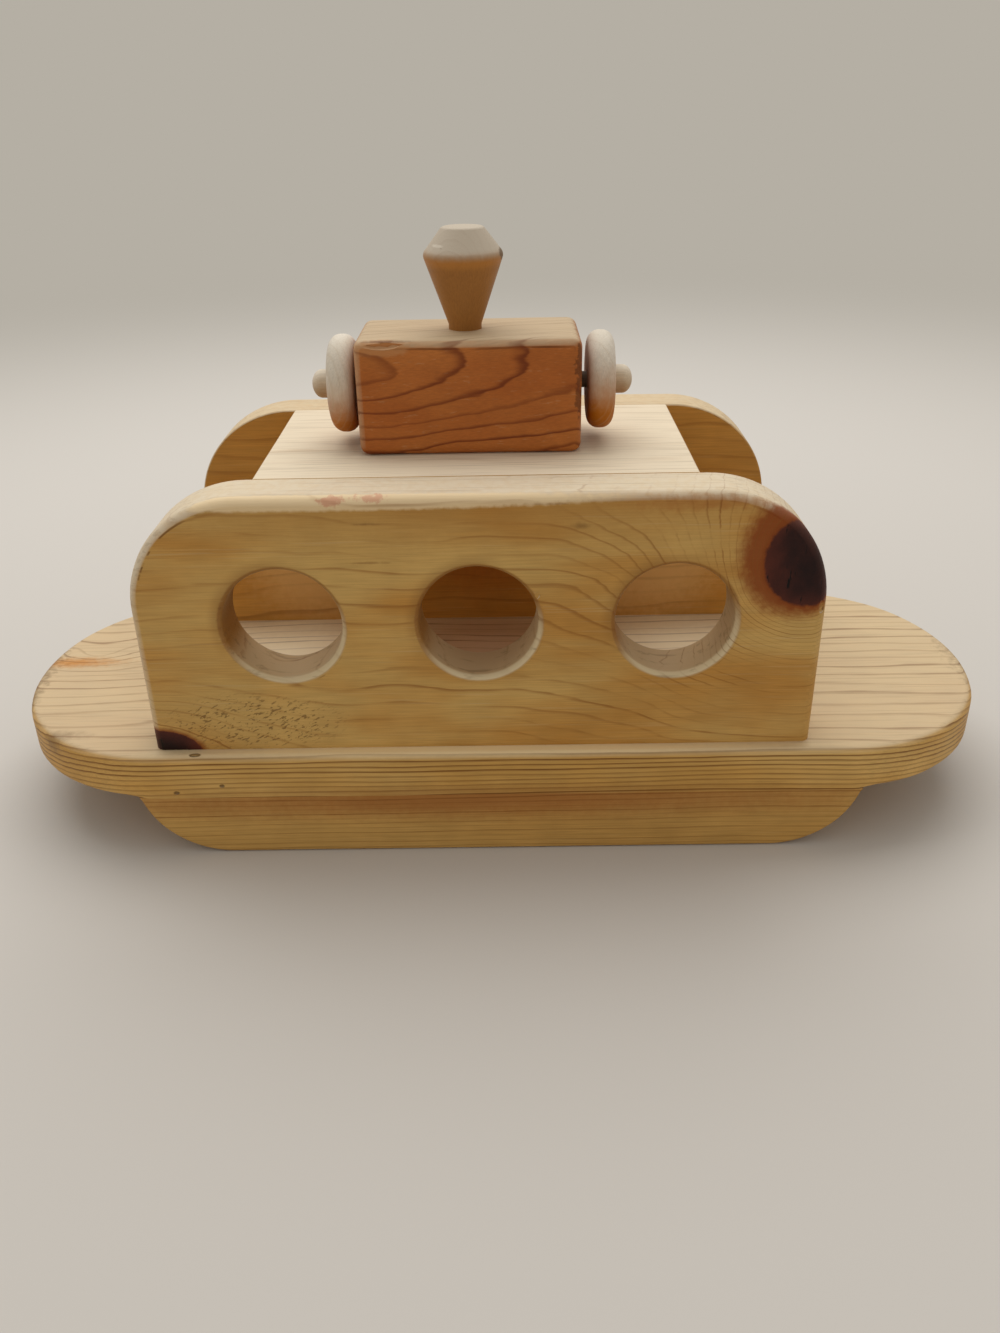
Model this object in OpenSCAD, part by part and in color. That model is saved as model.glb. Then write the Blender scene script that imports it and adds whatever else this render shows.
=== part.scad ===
// Wooden toy ferry boat: a round-ended deck board on a shorter hull board, two side walls with
// portholes carrying a roof over an open car deck, and a cabin block with a funnel and two wheels.
// X runs along the boat, Y across it and Z up. The origin is on the floor under the middle of the hull.

/* [Hull board] */
// Length of the hull board where it meets the deck
hull_l = 287; // [262:1:300]
// Thickness of the hull board
hull_t = 26.5; // [22:0.5:32]
// Radius of the hull's upswept ends, seen from the side
hull_end_r = 36.5; // [33:0.5:45]
// Small radius sanded on the hull's lower edges
hull_ease = 1.2; // [0.5:0.1:3]

/* [Deck board] */
// Length of the deck board from end to end
deck_l = 411; // [370:1:440]
// Width of the deck board and of the hull under it
deck_w = 152.4; // [148:0.2:158]
// Thickness of the deck board
deck_t = 18.5; // [17:0.5:24]
// Length of each rounded end, measured along the boat
deck_end_l = 71; // [62:1:73]
// Radius of the blunt nose in the middle of each rounded end
deck_nose_r = 90; // [84:1:100]
// Radius sanded on the deck's top edge
deck_top_ease = 3.5; // [1:0.5:5]
// Radius sanded on the deck's bottom edge, where it overhangs the hull
deck_low_ease = 2.5; // [1:0.5:5]

/* [Side walls] */
// Length of each side wall
wall_l = 257.5; // [240:0.5:270]
// Height of each side wall above the deck
wall_h = 103; // [98:1:116]
// Thickness of each side wall
wall_t = 22; // [18:0.5:23]
// Radius of the walls' upper corners
wall_corner_r = 44; // [25:1:48]
// Radius sanded on the walls' outer edges
wall_ease = 4; // [1:0.5:5]
// Clear width of the car deck between the walls
tunnel_w = 95; // [88:1:100]
// Place of walls and roof along the deck, negative towards -X from its middle
house_shift = -7; // [-12:1:12]

/* [Portholes] */
// Number of portholes in each wall
porthole_n = 3; // [1:1:3]
// Diameter of the portholes
porthole_d = 44.45; // [30:0.05:48]
// Distance between neighbouring portholes
porthole_pitch = 73; // [66:1:76]
// Height of the porthole centres above the deck
porthole_h = 53.3; // [48:0.1:54]
// Radius sanded on the porthole rims
porthole_ease = 2.5; // [0.5:0.1:3.5]

/* [Roof] */
// Length of the roof board
roof_l = 165; // [150:0.5:180]
// Thickness of the roof board
roof_t = 22; // [18:0.5:24]
// Radius sanded on the roof's end edges
roof_ease = 1; // [0.5:0.1:2]

/* [Cabin] */
// Length of the cabin block
cabin_l = 85.5; // [78:0.5:100]
// Width of the cabin block
cabin_w = 44.5; // [34:0.5:60]
// Height of the cabin block
cabin_h = 43.5; // [38:0.5:50]
// Radius sanded on the cabin block's edges
cabin_ease = 3.5; // [1:0.5:4]
// Place of the cabin block along the roof, negative towards -X from its middle
cabin_shift = -2.5; // [-6:0.5:6]

/* [Wheels] */
// Diameter of the wheels
wheel_d = 37.5; // [30:0.1:40]
// Thickness of the wheels
wheel_t = 10.3; // [10:0.1:14]
// Radius turned on the wheels' tread edges
wheel_ease = 4.6; // [2:0.1:5]
// Diameter of the wheels' bores
wheel_bore_d = 6.35; // [6.3:0.01:6.38]
// Depth of the dish turned in the outer face of the wheels
wheel_dish = 1.6; // [0.8:0.1:2.5]
// Height of the wheel centres above the roof
axle_h = 23.1; // [22:0.1:26]
// Gap between the cabin block and the left wheel
left_gap = 1.7; // [1:0.1:5]
// Gap between the cabin block and the right wheel
right_gap = 3.1; // [1:0.1:5]

/* [Axle pegs] */
// Diameter of the pegs' shanks
peg_d = 6.2; // [6.1:0.01:6.25]
// Length of the pegs' shanks under the head
peg_l = 34; // [30:1:36]
// Diameter of the pegs' heads
peg_head_d = 11; // [9:0.5:13]
// Height of the pegs' domed heads
peg_head_t = 7.1; // [4:0.1:8]
// End play between a wheel and its peg's head
peg_play = 0.5; // [0.3:0.1:1]

/* [Funnel] */
// Height of the funnel above the cabin block
funnel_h = 36.8; // [30:0.1:50]
// Height of the funnel's widest ring above the cabin block
funnel_ring_h = 26.7; // [22:0.1:29]
// Diameter of the funnel's widest ring
funnel_ring_d = 30; // [24:0.5:36]
// Diameter of the funnel's neck, where it enters the cabin block
funnel_neck_d = 12.7; // [10:0.1:14]
// Diameter of the funnel's flat top
funnel_top_d = 17.4; // [14:0.1:20]
// Place of the funnel along the cabin block, negative towards -X from its middle
funnel_shift = -1.3; // [-5:0.1:5]

/* [Dowels] */
// Diameter of the hidden dowels
dowel_d = 9.6; // [8:0.1:10]
// Depth of a dowel in the board that it stands up from
dowel_root = 12; // [10:0.5:13]
// Depth of a dowel in the board that it reaches into
dowel_reach = 15; // [12:0.5:17]

/* [Hidden] */
$fn = 96;

pine = "#DDB878";
pale_pine = "#E6CB98";
fir = "#B8743A";
birch = "#E3D8C2";
beech = "#D9BE93";

// Small amount that a cutter stands past the face it cuts
past = 1;
// Radial bite of a glued dowel, peg or tenon in its hole
glue_bite = 0.05;
// Gap left for glue past the end of a dowel, peg or tenon
glue_gap = 1;

deck_z = hull_t;
floor_z = deck_z + deck_t;
roof_z = floor_z + wall_h;
wall_in_y = tunnel_w / 2;
cabin_x = house_shift + cabin_shift;
funnel_x = cabin_x + funnel_shift;
axle_z = roof_z + axle_h;
top_z = roof_z + cabin_h;

// The deck's rounded end is a three-centred arch: a nose arc between two shoulder arcs.
// The shoulder radius is the one that makes all of them tangent.
nose_back = deck_nose_r - deck_end_l;
half_w = deck_w / 2;
shoulder_r = (deck_nose_r * deck_nose_r - nose_back * nose_back - half_w * half_w)
             / (2 * (deck_nose_r - half_w));
shoulder_y = half_w - shoulder_r;
nose_angle = atan2(shoulder_y, nose_back);
arch_x = deck_l / 2 - deck_end_l;

porthole_x = [for (i = [0:porthole_n - 1]) (i - (porthole_n - 1) / 2) * porthole_pitch];

hull_dowel_x = hull_l * 0.36;
hull_dowel_y = deck_w * 0.2;
wall_dowel_x = wall_l * 0.4;
roof_dowel_x = roof_l * 0.36;
cabin_dowel_x = cabin_l * 0.3;
roof_dowel_z = roof_z - roof_t / 2;
dowel_chamfer = 1;

// Steps that the deck's rounded edges are drawn in
ease_steps = 4;
// Wheel, peg and funnel details
wheel_hub_r = wheel_d * 0.17;
wheel_rim_w = 0.5;
peg_tip = 0.8;
peg_side_share = 0.45;
funnel_tenon_l = 14;
funnel_neck_h = 1.8;
funnel_ring_r = 3;
funnel_lip_r = 1;

// Points of an arc about centre c, from angle a to angle b
function arc(c, r, a, b, steps = 8) =
    [for (i = [0:steps]) let (t = a + (b - a) * i / steps) c + r * [cos(t), sin(t)]];

// Angle off the vertical of the line that touches two circles, dx and dz apart, on their outer side
function lean(dx, dz, r_step) = atan2(dx, dz) + asin(r_step / norm([dx, dz]));

// Cross-section of a board reaching from its middle to one edge, lower and upper corners rounded
module edge_section(reach, t, low_r, high_r)
    difference() {
        square([reach, t]);
        if (low_r > 0)
            difference() {
                translate([reach - low_r, -past]) square([low_r + past, low_r + past]);
                translate([reach - low_r, low_r]) circle(low_r);
            }
        if (high_r > 0)
            difference() {
                translate([reach - high_r, t - high_r]) square([high_r + past, high_r + past]);
                translate([reach - high_r, t - high_r]) circle(high_r);
            }
    }

// The same cross-section with both edges of the board
module full_section(w, t, low_r, high_r) {
    edge_section(w / 2, t, low_r, high_r);
    mirror([1, 0]) edge_section(w / 2, t, low_r, high_r);
}

// Lays a cross-section down along X
module along_x(l) rotate([90, 0, 90]) translate([0, 0, -l / 2]) linear_extrude(l) children();

// Lays a cross-section down along Y, starting at Y = 0
module along_y(l) translate([0, l, 0]) rotate([90, 0, 0]) linear_extrude(l) children();

// A board with two rounded corners, flat on XY with its straight bottom edge on the X axis
module round_shouldered_board(l, h, t, corner_r, low_r, high_r) {
    along_y(h - corner_r) full_section(l, t, low_r, high_r);
    translate([0, h - corner_r, 0])
        along_x(l - 2 * corner_r) edge_section(corner_r, t, low_r, high_r);
    for (side = [0, 1])
        mirror([side, 0, 0])
            translate([l / 2 - corner_r, h - corner_r, 0])
                rotate_extrude(angle = 90) edge_section(corner_r, t, low_r, high_r);
}

// Rectangle about the origin with rounded corners
module rounded_rect(w, h, r) {
    square([w - 2 * r, h], center = true);
    square([w, h - 2 * r], center = true);
    for (x = [-1, 1], y = [-1, 1])
        translate([x * (w / 2 - r), y * (h / 2 - r)]) circle(r);
}

// Cutter for a hole through a board of thickness t, with both rims sanded round
module eased_hole(d, t, rim_r) {
    translate([0, 0, -past]) cylinder(d = d, h = t + 2 * past);
    for (z = [0, 1])
        translate([0, 0, z * t]) mirror([0, 0, z])
            rotate_extrude()
                difference() {
                    translate([0, -past]) square([d / 2 + rim_r, rim_r + past]);
                    translate([d / 2 + rim_r, rim_r]) circle(rim_r);
                }
}

// A dowel pin along Z between two heights, its ends chamfered
module dowel(z0, z1)
    rotate_extrude()
        polygon([[0, z0], [dowel_d / 2 - dowel_chamfer, z0], [dowel_d / 2, z0 + dowel_chamfer],
                 [dowel_d / 2, z1 - dowel_chamfer], [dowel_d / 2 - dowel_chamfer, z1], [0, z1]]);

// The blind hole that such a dowel is glued in
module dowel_hole(z0, z1)
    translate([0, 0, z0]) cylinder(r = dowel_d / 2 - glue_bite, h = z1 - z0);

// Places of the dowels between hull and deck
module at_hull_dowels()
    for (x = [-1, 1], y = [-1, 1])
        translate([x * hull_dowel_x, y * hull_dowel_y, deck_z]) children();

// Places of the dowels under one wall, or under both
module at_wall_dowels(sides = [-1, 1])
    for (x = [-1, 0, 1], y = sides)
        translate([house_shift + x * wall_dowel_x, y * (wall_in_y + wall_t / 2), floor_z]) children();

// Places of the dowels between a wall and the roof, pointing into the wall
module at_roof_dowels(sides = [-1, 1])
    for (x = [-1, 0, 1], y = sides)
        translate([house_shift + x * roof_dowel_x, y * wall_in_y, roof_dowel_z])
            rotate([-90 * y, 0, 0]) children();

// Places of the dowels between roof and cabin
module at_cabin_dowels()
    for (x = [-1, 1])
        translate([cabin_x + x * cabin_dowel_x, 0, roof_z]) children();

// Turns a wheel or peg so that its axis points out of the cabin's end, at the axle's height
module at_cabin_end(side)
    translate([cabin_x + side * cabin_l / 2, 0, axle_z]) rotate([0, side * 90, 0]) children();

// Hull board: sides flush with the deck's, flat bottom, ends swept up in one arc
module hull_board()
    color(pine)
        difference() {
            intersection() {
                translate([0, -half_w, 0]) along_y(deck_w) hull_outline();
                along_x(hull_l + 2 * past) full_section(deck_w, hull_t, hull_ease, 0);
                linear_extrude(hull_t) deck_plan(0);
            }
            at_hull_dowels() dowel_hole(-dowel_reach - glue_gap, past);
        }

// Side view of the hull board
module hull_outline() {
    rise = hull_end_r - hull_t;
    arc_x = hull_l / 2 - sqrt(hull_end_r * hull_end_r - rise * rise);
    intersection() {
        translate([-hull_l / 2 - past, 0]) square([hull_l + 2 * past, hull_t]);
        union() {
            translate([-arc_x, 0]) square([2 * arc_x, hull_t]);
            for (x = [-1, 1])
                translate([x * arc_x, hull_end_r]) circle(hull_end_r);
        }
    }
}

// Deck board: straight sides, three-centred rounded ends, edges sanded round
module deck()
    color(pale_pine)
        difference() {
            translate([0, 0, deck_z]) {
                deck_body();
                deck_seat();
            }
            at_hull_dowels() dowel_hole(-past, dowel_root + glue_gap);
            at_wall_dowels() dowel_hole(-dowel_root - glue_gap, past);
        }

// The deck's rounded edges, drawn together from plans inset step by step towards each face
module deck_body()
    hull()
        for (i = [0:ease_steps]) {
            turn = 90 * i / ease_steps;
            low_rise = deck_low_ease * (1 - cos(turn));
            high_drop = deck_top_ease * (1 - cos(turn));
            translate([0, 0, low_rise])
                linear_extrude(deck_t / 2 - low_rise) deck_plan(deck_low_ease * (1 - sin(turn)));
            translate([0, 0, deck_t / 2])
                linear_extrude(deck_t / 2 - high_drop) deck_plan(deck_top_ease * (1 - sin(turn)));
        }

// Lower half of the deck over the hull, where its bottom edge is left square and flush
module deck_seat()
    linear_extrude(deck_t / 2)
        intersection() {
            deck_plan(0);
            square([hull_l, deck_w], center = true);
        }

// Plan of the deck, inset by a given amount; one end's arcs, then the same turned half round
module deck_plan(inset) {
    end = concat(
        arc([arch_x, -shoulder_y], shoulder_r - inset, -90, -nose_angle),
        arc([arch_x - nose_back, 0], deck_nose_r - inset, -nose_angle, nose_angle),
        arc([arch_x, shoulder_y], shoulder_r - inset, nose_angle, 90));
    polygon(concat(end, -1 * end));
}

// A side wall standing on the near side of the deck, its outer face towards -Y
module side_wall()
    difference() {
        translate([house_shift, -wall_in_y, floor_z])
            rotate([90, 0, 0])
                difference() {
                    round_shouldered_board(wall_l, wall_h, wall_t, wall_corner_r, 0, wall_ease);
                    for (x = porthole_x)
                        translate([x, porthole_h, 0]) eased_hole(porthole_d, wall_t, porthole_ease);
                }
        at_wall_dowels([-1]) dowel_hole(-past, dowel_reach + glue_gap);
        at_roof_dowels([-1]) dowel_hole(-past, dowel_root + glue_gap);
    }

module near_wall() color(pine) side_wall();

module far_wall() color(pine) mirror([0, 1, 0]) side_wall();

// Roof board between the walls, its top flush with theirs
module roof()
    color(pale_pine)
        difference() {
            translate([house_shift, -wall_in_y, roof_z - roof_t])
                along_y(tunnel_w) full_section(roof_l, roof_t, roof_ease, roof_ease);
            at_roof_dowels() dowel_hole(-dowel_reach - glue_gap, past);
            at_cabin_dowels() dowel_hole(-dowel_root - glue_gap, past);
        }

// Cabin block: a sanded block drilled for its dowels, the funnel's tenon and the two axle pegs
module cabin()
    color(fir)
        difference() {
            translate([cabin_x, 0, roof_z + cabin_h / 2])
                intersection() {
                    linear_extrude(cabin_h, center = true) rounded_rect(cabin_l, cabin_w, cabin_ease);
                    rotate([90, 0, 0])
                        linear_extrude(cabin_w, center = true) rounded_rect(cabin_l, cabin_h, cabin_ease);
                    rotate([90, 0, 90])
                        linear_extrude(cabin_l, center = true) rounded_rect(cabin_w, cabin_h, cabin_ease);
                }
            at_cabin_dowels() dowel_hole(-past, dowel_reach + glue_gap);
            at_cabin_end(-1) peg_hole(left_gap);
            at_cabin_end(1) peg_hole(right_gap);
            translate([funnel_x, 0, top_z - funnel_tenon_l - glue_gap])
                cylinder(r = funnel_neck_d / 2 - glue_bite, h = funnel_tenon_l + glue_gap + past);
        }

// Blind hole in the cabin's end that an axle peg is glued in
module peg_hole(gap) {
    depth = peg_l - gap - wheel_t - peg_play + glue_gap;
    translate([0, 0, -depth]) cylinder(r = peg_d / 2 - glue_bite, h = depth + past);
}

// Funnel: one turning, with a tenon, a short neck, a cone up to the widest ring and a cone to the top
module funnel()
    color(beech)
        translate([funnel_x, 0, top_z]) rotate_extrude() funnel_profile();

// Half profile of the funnel, its ring and lip drawn as arcs that meet the cones
module funnel_profile() {
    neck_r = funnel_neck_d / 2;
    ring_c = [funnel_ring_d / 2 - funnel_ring_r, funnel_ring_h];
    lip_c = [funnel_top_d / 2 - funnel_lip_r, funnel_h - funnel_lip_r];
    low_lean = lean(ring_c[0] - neck_r, ring_c[1] - funnel_neck_h, funnel_ring_r);
    high_lean = lean(ring_c[0] - lip_c[0], lip_c[1] - ring_c[1], funnel_ring_r - funnel_lip_r);
    polygon(concat(
        [[0, -funnel_tenon_l], [neck_r - peg_tip, -funnel_tenon_l],
         [neck_r, peg_tip - funnel_tenon_l], [neck_r, funnel_neck_h]],
        arc(ring_c, funnel_ring_r, -low_lean, high_lean),
        arc(lip_c, funnel_lip_r, high_lean, 90, 4),
        [[0, funnel_h]]));
}

// Wheel standing on Z = 0 with its dished outer face up: round-edged tread, raised hub, plain bore
module wheel() {
    r = wheel_d / 2;
    rim_r = r - wheel_ease - wheel_rim_w;
    rotate_extrude()
        polygon(concat(
            [[wheel_bore_d / 2, 0]],
            arc([r - wheel_ease, wheel_ease], wheel_ease, -90, 0),
            arc([r - wheel_ease, wheel_t - wheel_ease], wheel_ease, 0, 90),
            [[rim_r, wheel_t], [rim_r - wheel_dish, wheel_t - wheel_dish],
             [wheel_hub_r + wheel_dish / 2, wheel_t - wheel_dish], [wheel_hub_r, wheel_t],
             [wheel_bore_d / 2, wheel_t]]));
}

module left_wheel()
    color(birch) at_cabin_end(-1) translate([0, 0, left_gap]) wheel();

module right_wheel()
    color(birch) at_cabin_end(1) translate([0, 0, right_gap]) wheel();

// Axle peg: a straight shank with a chamfered tip, under a domed head
module axle_peg(gap) {
    head_z = gap + wheel_t + peg_play;
    head_r = peg_head_d / 2;
    side_h = peg_head_t * peg_side_share;
    dome_h = peg_head_t - side_h;
    rotate_extrude()
        polygon(concat(
            [[0, head_z - peg_l], [peg_d / 2 - peg_tip, head_z - peg_l],
             [peg_d / 2, head_z - peg_l + peg_tip], [peg_d / 2, head_z], [head_r - peg_tip / 2, head_z],
             [head_r, head_z + peg_tip / 2]],
            [for (i = [0:8]) [head_r * cos(i * 90 / 8), head_z + side_h + dome_h * sin(i * 90 / 8)]]));
}

module left_axle_peg() color(birch) at_cabin_end(-1) axle_peg(left_gap);

module right_axle_peg() color(birch) at_cabin_end(1) axle_peg(right_gap);

module hull_dowels() color(beech) at_hull_dowels() dowel(-dowel_reach, dowel_root);

module wall_dowels() color(beech) at_wall_dowels() dowel(-dowel_root, dowel_reach);

module roof_dowels() color(beech) at_roof_dowels() dowel(-dowel_reach, dowel_root);

module cabin_dowels() color(beech) at_cabin_dowels() dowel(-dowel_root, dowel_reach);

hull_board();
deck();
near_wall();
far_wall();
roof();
cabin();
funnel();
left_wheel();
right_wheel();
left_axle_peg();
right_axle_peg();
hull_dowels();
wall_dowels();
roof_dowels();
cabin_dowels();
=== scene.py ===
import math

import bmesh
import bpy
from mathutils import Matrix, Vector, noise


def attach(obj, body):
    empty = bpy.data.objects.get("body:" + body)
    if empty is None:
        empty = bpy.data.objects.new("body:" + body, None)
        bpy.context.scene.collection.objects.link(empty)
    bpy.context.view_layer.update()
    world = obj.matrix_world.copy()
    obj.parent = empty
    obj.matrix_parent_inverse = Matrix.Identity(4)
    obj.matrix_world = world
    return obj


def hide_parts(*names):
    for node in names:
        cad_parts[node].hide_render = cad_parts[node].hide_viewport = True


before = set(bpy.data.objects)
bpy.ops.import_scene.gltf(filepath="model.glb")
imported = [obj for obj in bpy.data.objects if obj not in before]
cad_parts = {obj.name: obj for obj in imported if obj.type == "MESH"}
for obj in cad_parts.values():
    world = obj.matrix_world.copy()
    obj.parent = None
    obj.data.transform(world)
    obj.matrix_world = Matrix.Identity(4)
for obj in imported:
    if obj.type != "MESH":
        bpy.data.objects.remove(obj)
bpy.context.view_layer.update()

scene = bpy.context.scene
scene.view_settings.view_transform = "Standard"

# Camera: a little above the toy and in front of its near wall, looking down on it.
# Its place and angles were solved from the toy's own straight edges.
# The toy's sizes are written in mm, and MM turns them to metres.
MM = 0.001
CAMERA_PLACE, CAMERA_ANGLES, SENSOR_WIDTH, LENS = (4.5, -435.0, 275.6), (28.13, -0.584, -1.106), 36, 29.6
pitch, yaw, roll = (math.radians(angle) for angle in CAMERA_ANGLES)
forward = Vector((math.sin(yaw) * math.cos(pitch), math.cos(yaw) * math.cos(pitch), -math.sin(pitch)))
level = Vector((math.cos(yaw), -math.sin(yaw), 0))
steep = level.cross(forward)
right = math.cos(roll) * level + math.sin(roll) * steep
up = -math.sin(roll) * level + math.cos(roll) * steep
camera = bpy.data.objects.new("camera", bpy.data.cameras.new("camera"))
scene.collection.objects.link(camera)
camera.data.sensor_width = SENSOR_WIDTH
camera.data.lens = LENS
aim = Matrix((right, up, -forward)).transposed().to_4x4()
camera.matrix_world = Matrix.Translation(Vector(CAMERA_PLACE) * MM) @ aim
scene.camera = camera


# Floor and light: a pale matt sheet under soft light from overhead and a little behind.
# Past the toy the sheet fades into a background of its own colour, so no horizon shows.
# Sizes and places in this section are in metres.
SHEET, BACKDROP, FILL, FILL_STRENGTH = "#D0CBC4", "#B5AFA4", "#FFFBF4", 0.52
SHEET_RADIUS, SHEET_DROP, FADE_START, FADE_END = 3, 0.0002, 0.45, 1.5
SOFTBOX_PLACE, SOFTBOX_AIM, SOFTBOX_SIZE, SOFTBOX_WATTS = (-0.1, 0.6, 1.3), (0, 0, 0.1), (1.8, 1.2), 15


def linear(colour):
    """The shader's colour for an sRGB hex value."""
    parts = [int(colour[i:i + 2], 16) / 255 for i in (1, 3, 5)]
    return tuple(c / 12.92 if c <= 0.04045 else ((c + 0.055) / 1.055) ** 2.4 for c in parts) + (1,)


def add(tree, kind, inputs=(), out=0, **settings):
    """Adds a node with its settings. Its inputs are values or other nodes' outputs, as a list in the order
    of its sockets or as a dictionary from a socket's name or number."""
    made = tree.nodes.new("ShaderNode" + kind)
    for key, value in settings.items():
        setattr(made, key, value)
    for key, value in (inputs if isinstance(inputs, dict) else dict(enumerate(inputs))).items():
        if isinstance(value, bpy.types.NodeSocket):
            tree.links.new(value, made.inputs[key])
        else:
            made.inputs[key].default_value = value
    return made.outputs[out] if made.outputs else made


bpy.ops.object.select_all(action="DESELECT")
bpy.ops.mesh.primitive_circle_add(vertices=96, radius=SHEET_RADIUS, fill_type="NGON",
                                  location=(0, 0, -SHEET_DROP))
floor = bpy.context.object
floor.name = "floor"
sheet = bpy.data.materials.new("matt paper sheet")
sheet.use_nodes = True
tree = sheet.node_tree
tree.nodes.clear()
place = add(tree, "TexCoord", out="Object")
reach = add(tree, "VectorMath", {0: place}, out="Value", operation="LENGTH")
fade = add(tree, "MapRange", {"Value": reach, "From Min": FADE_START, "From Max": FADE_END},
           interpolation_type="SMOOTHSTEP")
matt = add(tree, "BsdfDiffuse", {"Color": linear(SHEET)})
far = add(tree, "Emission", {"Color": linear(BACKDROP), "Strength": 1.0})
add(tree, "OutputMaterial", {"Surface": add(tree, "MixShader", {0: fade, 1: matt, 2: far})})
floor.data.materials.append(sheet)

world = bpy.data.worlds.new("studio")
scene.world = world
world.use_nodes = True
tree = world.node_tree
tree.nodes.clear()
fill = add(tree, "Background", {"Color": linear(FILL), "Strength": FILL_STRENGTH})
seen = add(tree, "Background", {"Color": linear(BACKDROP), "Strength": 1.0})
path = tree.nodes.new("ShaderNodeLightPath")
direct = add(tree, "Math", {0: path.outputs["Is Camera Ray"], 1: path.outputs["Is Glossy Ray"]},
             operation="MAXIMUM")
direct = add(tree, "Math", {0: direct, 1: path.outputs["Is Transmission Ray"]}, operation="MAXIMUM")
add(tree, "OutputWorld", {"Surface": add(tree, "MixShader", {0: direct, 1: fill, 2: seen})})

lamp = bpy.data.lights.new("overhead softbox", "AREA")
lamp.shape, lamp.energy = "RECTANGLE", SOFTBOX_WATTS
lamp.size, lamp.size_y = SOFTBOX_SIZE
softbox = bpy.data.objects.new("overhead softbox", lamp)
softbox.location = SOFTBOX_PLACE
softbox.rotation_euler = (softbox.location - Vector(SOFTBOX_AIM)).to_track_quat("Z", "Y").to_euler()
scene.collection.objects.link(softbox)


# Hull board: one thick pine board, planed, its ends sawn to an upswept arc and sanded.
# It is glued flush under the deck, so its sides follow the deck's.
HULL_LENGTH, HULL_DEPTH, HULL_ARC, HULL_EASE, DECK_WIDTH = 287.0, 26.5, 36.5, 1.2, 152.4


def block(name, low, high):
    """A block from one corner to the other, in mm, as the start of a board."""
    bpy.ops.object.select_all(action="DESELECT")
    low, high = Vector(low) * MM, Vector(high) * MM
    bpy.ops.mesh.primitive_cube_add(size=1, location=(low + high) / 2)
    made = bpy.context.object
    made.name = made.data.name = name
    made.scale = high - low
    bpy.ops.object.transform_apply(location=True, rotation=False, scale=True)
    return made


def pick(piece, edges=None, faces=None):
    """Selects the edges or faces whose middle, in mm, passes the test, and stays in edit mode."""
    bpy.context.view_layer.objects.active = piece
    bpy.ops.object.mode_set(mode="EDIT")
    bpy.ops.mesh.select_mode(type="FACE" if faces else "EDGE")
    bpy.ops.mesh.select_all(action="DESELECT")
    form = bmesh.from_edit_mesh(piece.data)
    if edges:
        for edge in form.edges:
            edge.select_set(bool(edges((edge.verts[0].co + edge.verts[1].co) / 2 / MM)))
    if faces:
        for face in form.faces:
            face.select_set(bool(faces(face.calc_center_median() / MM, face.normal)))
    bmesh.update_edit_mesh(piece.data)


def saw(piece, point, normal, clear=False, where=None):
    """Bisects the piece, or what is picked of it, at a plane; clear takes off the side it faces."""
    pick(piece, faces=where or (lambda middle, out: True))
    bpy.ops.mesh.bisect(plane_co=Vector(point) * MM, plane_no=normal, clear_outer=clear, use_fill=clear)
    bpy.ops.object.mode_set(mode="OBJECT")


# The widest radius of an edge in mm, the least angle in degrees that counts as an edge, and how much
# and how fast hand sanding varies along it.
WIDEST_EASE, EDGE_ANGLE, UNEVENNESS, UNEVEN_SCALE = 5.0, 35, 0.16, 45


def ease(piece, radius_at, steps=4):
    """Sands the sharp edges round, each by the radius in mm given for its middle, a little unevenly."""
    form = bmesh.new()
    form.from_mesh(piece.data)
    weights = []
    for edge in form.edges:
        weight = 0.0
        if edge.is_manifold and edge.calc_face_angle() > math.radians(EDGE_ANGLE):
            middle = (edge.verts[0].co + edge.verts[1].co) / 2
            uneven = 1 + UNEVENNESS * noise.noise(middle * UNEVEN_SCALE)
            weight = radius_at(middle / MM) * uneven / WIDEST_EASE
        weights.append(min(1.0, weight))
    form.free()
    held = piece.data.attributes.get("bevel_weight_edge") or piece.data.attributes.new(
        "bevel_weight_edge", "FLOAT", "EDGE")
    held.data.foreach_set("value", weights)
    bpy.context.view_layer.objects.active = piece
    bevel = piece.modifiers.new("ease", "BEVEL")
    bevel.width, bevel.segments, bevel.limit_method = WIDEST_EASE * MM, steps, "WEIGHT"
    bevel.use_clamp_overlap = bevel.loop_slide = False
    bpy.ops.object.modifier_apply(modifier=bevel.name)


SMOOTH_BELOW = 32


def settle(piece, body, slot, material, *nodes):
    """Gives a finished piece its shading, material and place in the frame."""
    bpy.ops.object.select_all(action="DESELECT")
    piece.select_set(True)
    bpy.context.view_layer.objects.active = piece
    bpy.ops.object.shade_smooth_by_angle(angle=math.radians(SMOOTH_BELOW))
    even = piece.modifiers.new("flat faces shade flat", "WEIGHTED_NORMAL")
    even.keep_sharp = True
    bpy.ops.object.modifier_apply(modifier=even.name)
    piece.data.materials.clear()
    piece.data.materials.append(material)
    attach(piece, body)
    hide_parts(*nodes)


# What age and light give every board: old varnish deepened by painted shade in bores, painted shade beside
# a bore, soil, wood that is rubbed, scratched or greyed, bores paler with painted light, and the tones of a
# knot.
BORE_VARNISH_AND_SHADE, PAINTED_RIM_SHADE, BORE_SOIL, SEAM_SOIL = "#93622F", "#7E5222", "#6B4A2A", "#5C351A"
RUBBED_AND_LIT_BORE, SCRATCHED, GREYED, PIT_BOTTOM = "#E4D0A8", "#E3CFA4", "#8B7355", "#5A3B1C"
KNOT_HALO, KNOT_BLACK, KNOT_RED = "#86400F", "#241110", "#5E2B1E"
KNOT_CRACK, KNOT_SCUFF = "#120908", "#8E5A4C"


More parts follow.
